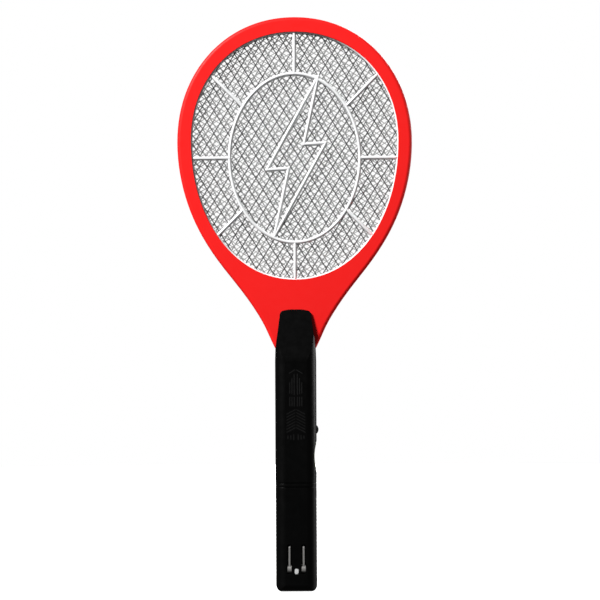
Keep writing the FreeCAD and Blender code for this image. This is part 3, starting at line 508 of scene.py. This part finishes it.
def make_guard(name, node_name, facing):
    """Rib guard on one side: flange, ring, spokes and bolt. facing is -1 in front and 1 behind."""
    mesh = bmesh.new()
    low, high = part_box(node_name)
    base = high[1] if facing < 0 else low[1]
    top = low[1] if facing < 0 else high[1]
    rise = top - base
    flange_top = base + facing * FLANGE_HEIGHT
    flat_ring(mesh, PLATE_MARGIN, -FLANGE_INSET, flange_top, base, FLANGE_EASE)
    ring_rib(mesh, base, rise)
    for turn in range(SPOKE_COUNT):
        angle = 2 * math.pi * turn / SPOKE_COUNT
        way = (math.cos(angle), math.sin(angle))
        near = 1 / math.hypot(way[0] / RING_HALF_WIDTH, way[1] / RING_HALF_HEIGHT)
        far = egg_reach(0.0, GUARD_CENTRE_Z, way[0], way[1], -SPOKE_INSET)
        start = (near * way[0], GUARD_CENTRE_Z + near * way[1])
        end = (far * way[0], GUARD_CENTRE_Z + far * way[1])
        rib(mesh, start, end, base, rise)
    corners = BOLT_HALF + [(-x, -z) for x, z in BOLT_HALF]
    bolt = [(x + BOLT_CENTRE[0], z + BOLT_CENTRE[1]) for x, z in corners]
    for start, end in zip(bolt, bolt[1:] + bolt[:1]):
        rib(mesh, start, end, base, rise)
    finish_piece(name, mesh, WHITE, node_name, slot="clear_rib_plastic")


def stepped(pair, i):
    """Value number i of a row given by its first value and its step."""
    return pair[0] + pair[1] * i


def make_relief():
    """Faint raised pattern on the front of the grip: bars under a pointed top, chevrons below, in a grey with
    painted highlight.
    """
    mesh = bmesh.new()
    face_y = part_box("front_handle_shell")[0][1]

    def bar(x, z, width, length, turn=0.0):
        size = Matrix.Diagonal((width, RELIEF_THICKNESS, length, 1.0))
        place = Matrix.Translation((x, face_y, z)) @ Matrix.Rotation(turn, 4, "Y") @ size
        bmesh.ops.create_cube(mesh, size=1.0, matrix=place)

    for side in SIDES:
        for i in range(BARS_PER_SIDE):
            x = side * stepped(BAR_X, i)
            bar(x, stepped(LONG_BAR_Z, i), BAR_WIDTH, stepped(LONG_BAR_LENGTH, i))
            bar(x, SHORT_BAR_Z, BAR_WIDTH, SHORT_BAR_LENGTH)
            bar(side * stepped(FOOT_BAR_X, i), FOOT_BAR_Z, BAR_WIDTH, stepped(FOOT_BAR_LENGTH, i))
        for i in range(CHEVRON_COUNT):
            bar(side * CHEVRON_X, stepped(CHEVRON_Z, i), SLANT_WIDTH, CHEVRON_LENGTH, side * CHEVRON_SLANT)
        bar(side * POINT_X, POINT_Z, SLANT_WIDTH, POINT_LENGTH, side * POINT_SLANT)
    finish_piece("grip_relief", mesh, RELIEF, slot="black_plastic", smooth=False)


# Scene


def dress_cad():
    """Materials of the CAD nodes that stay as they are."""
    dress(RED, "front_head_frame", "rear_head_frame")
    dress(BLACK, "front_handle_shell", "rear_handle_shell")
    dress(NATURAL, "front_spacer_ring", "rear_spacer_ring")
    dress(LIME, "trigger_button")
    dress(KNOB, "slide_switch_knob")
    dress(NICKEL, "plug_blade_left", "plug_blade_right", "plug_contacts")
    dress(NICKEL, "grid_terminals", "battery_terminals")
    dress(ZINC, "head_screws", "handle_screws", "board_screws", "plug_pin")
    dress(LENS, "charge_light_pipe")
    dress(HUB, "plug_hub", "trigger_switch_body", "slide_switch_body", "transformer_bobbin")
    dress_electronics()
    dress(plastic("battery_case", (0.02, 0.03, 0.06), 0.4, grain=1000.0, bump=0.1, spread=0.1), "battery")
    dress(plastic("foam", grey(0.04), 0.9, grain=1800.0, bump=0.8, spread=0.3), "battery_foam_pad")
    dress(plastic("red_insulation", (0.6, 0.02, 0.015), 0.4, bump=0.05), "red_wires")
    dress(plastic("black_insulation", grey(0.012), 0.4, bump=0.05), "black_wires")
    lever = plastic("switch_lever", (0.7, 0.7, 0.68), 0.35, bump=0.05)
    dress(lever, "trigger_switch_plunger", "slide_switch_lever")


def dress_electronics():
    """Materials of the boards and what they carry."""
    board = plastic("board", (0.36, 0.20, 0.07), 0.5, grain=600.0, bump=0.1, spread=0.12)
    dress(board, "circuit_board", "charger_board")
    ferrite = plastic("ferrite", grey(0.03), 0.6, grain=1500.0, bump=0.3, spread=0.2)
    dress(ferrite, "transformer_core")
    tape = plastic("winding_tape", (0.75, 0.50, 0.03), 0.3, bump=0.1, spread=0.08)
    dress(tape, "transformer_winding")
    dipped = plastic("dipped_film", (0.30, 0.04, 0.02), 0.22, bump=0.05, spread=0.1)
    dress(dipped, "hv_capacitor", "multiplier_capacitors")
    boxed = plastic("film_box", (0.70, 0.46, 0.04), 0.3, bump=0.05, spread=0.06)
    dress(boxed, "dropper_capacitor")
    epoxy = plastic("epoxy", grey(0.015), 0.45, grain=1500.0, bump=0.2, spread=0.2)
    dress(epoxy, "transistor", "hv_diodes", "rectifier_diodes")
    lacquer = plastic("resistor_lacquer", (0.55, 0.40, 0.22), 0.35, bump=0.06, spread=0.1)
    dress(lacquer, "resistors")
    lamp = plastic("lamp", (0.75, 0.04, 0.03), 0.2, bump=0.02, Transmission_Weight=0.3)
    dress(lamp, "charge_led")


def area_light(name, place, size, power):
    """Square soft light aimed at the foot of the mesh opening."""
    data = bpy.data.lights.new(name, "AREA")
    data.shape = "SQUARE"
    data.size = size
    data.energy = power
    lamp = bpy.data.objects.new(name, data)
    bpy.context.scene.collection.objects.link(lamp)
    lamp.location = place
    aim = Vector(LIGHT_TARGET) - Vector(place)
    lamp.rotation_euler = aim.to_track_quat("-Z", "Y").to_euler()


def make_surroundings():
    """White background to the camera, which lights the object only weakly."""
    world = bpy.data.worlds.new("studio")
    bpy.context.scene.world = world
    world.use_nodes = True
    tree = world.node_tree
    seen = tree.nodes["Background"]
    lit = tree.nodes.new("ShaderNodeBackground")
    for background, strength in ((seen, BACKGROUND_SEEN), (lit, BACKGROUND_LIGHT)):
        background.inputs["Color"].default_value = WHITE_LIGHT
        background.inputs["Strength"].default_value = strength
    rays = tree.nodes.new("ShaderNodeLightPath")
    mix = tree.nodes.new("ShaderNodeMixShader")
    tree.links.new(rays.outputs["Is Camera Ray"], mix.inputs["Fac"])
    tree.links.new(lit.outputs["Background"], mix.inputs[1])
    tree.links.new(seen.outputs["Background"], mix.inputs[2])
    tree.links.new(mix.outputs["Shader"], tree.nodes["World Output"].inputs["Surface"])


def make_floor():
    """Plain pale floor under the foot of the grip, which neither lights the object nor shows in its gloss."""
    bpy.ops.mesh.primitive_circle_add(vertices=FLOOR_SIDES, radius=FLOOR_RADIUS, fill_type="NGON")
    floor = bpy.context.active_object
    floor.name = "floor"
    floor.location = (0.0, FLOOR_BEHIND, cad_box[0][2] - FLOOR_DROP)
    paint = plastic("pale_floor", grey(0.93), 0.8, grain=60.0, bump=0.01, spread=0.01, specular=0.1)
    glow = paint.node_tree.nodes["Principled BSDF"]
    glow.inputs["Emission Color"].default_value = WHITE_LIGHT
    glow.inputs["Emission Strength"].default_value = FLOOR_GLOW
    floor.data.materials.append(paint)
    floor.visible_diffuse = False
    floor.visible_glossy = False


def make_studio():
    """White surroundings, a key from the upper left, lights past the right side and behind, and a floor."""
    make_surroundings()
    for light in LIGHTS:
        area_light(*light)
    make_floor()


def make_camera():
    """Long lens square on to the front."""
    data = bpy.data.cameras.new("camera")
    data.sensor_width = SENSOR_WIDTH
    data.lens = SENSOR_WIDTH * (CAMERA_DISTANCE - VIEW_PLANE) / VIEW_WIDTH
    data.clip_end = CLIP_END
    camera = bpy.data.objects.new("camera", data)
    bpy.context.scene.collection.objects.link(camera)
    camera.location = (CAMERA_X, -CAMERA_DISTANCE, CAMERA_Z)
    camera.rotation_euler = (math.radians(90), CAMERA_ROLL, 0.0)
    bpy.context.scene.camera = camera


def make_grids():
    """The three wire grids, the front one darkest."""
    make_grid(
        "front_grid_wires", "front_outer_grid",
        OUTER_PITCH, FRONT_CROSSING, OUTER_WIRE, FRONT_METAL, -TAB_X,
    )
    make_grid(
        "rear_grid_wires", "rear_outer_grid",
        OUTER_PITCH, REAR_CROSSING, OUTER_WIRE, REAR_METAL, TAB_X,
    )
    make_grid(
        "inner_grid_wires", "inner_grid",
        INNER_PITCH, INNER_CROSSING, INNER_WIRE, INNER_METAL, 0.0,
    )


def main():
    """Dresses the CAD nodes, adds the pieces, the studio and the camera."""
    dress_cad()
    make_grids()
    make_guard("front_guard_ribs", "front_rib_guard", -1)
    make_guard("rear_guard_ribs", "rear_rib_guard", 1)
    make_relief()
    make_studio()
    make_camera()
    bpy.context.scene.view_settings.view_transform = "Standard"


main()
